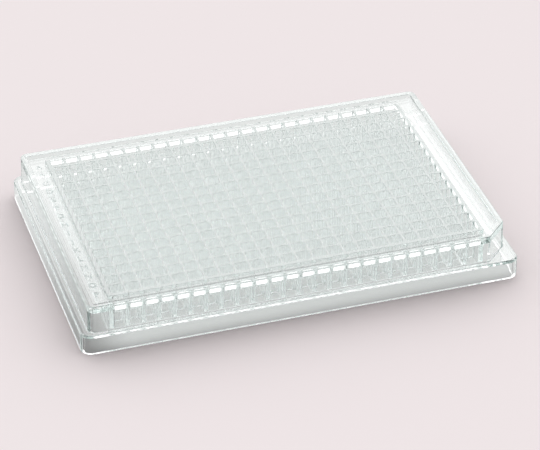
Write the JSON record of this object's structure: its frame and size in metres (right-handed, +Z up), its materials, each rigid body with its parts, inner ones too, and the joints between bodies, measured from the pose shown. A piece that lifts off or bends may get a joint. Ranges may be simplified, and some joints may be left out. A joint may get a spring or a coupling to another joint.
{
  "type": "well plate",
  "caption": "Clear moulded microplate: a close grid of small square wells in a stepped rectangular body with a raised rim, wide foot flange and a cut corner.",
  "frame": {"origin": "centre of the footprint, on the plane the plate rests on", "axes": "+X along the rows of wells towards the last column, +Y along the columns towards the first row, +Z up out of the wells"},
  "size_m": [0.1278, 0.0854, 0.0143],
  "materials": {
    "clear_polystyrene": "clear moulded polystyrene, glossy, with a faint grey-green tint"
  },
  "bodies": {
    "root": {"well_plate": "clear_polystyrene"}
  },
  "joints": []
}
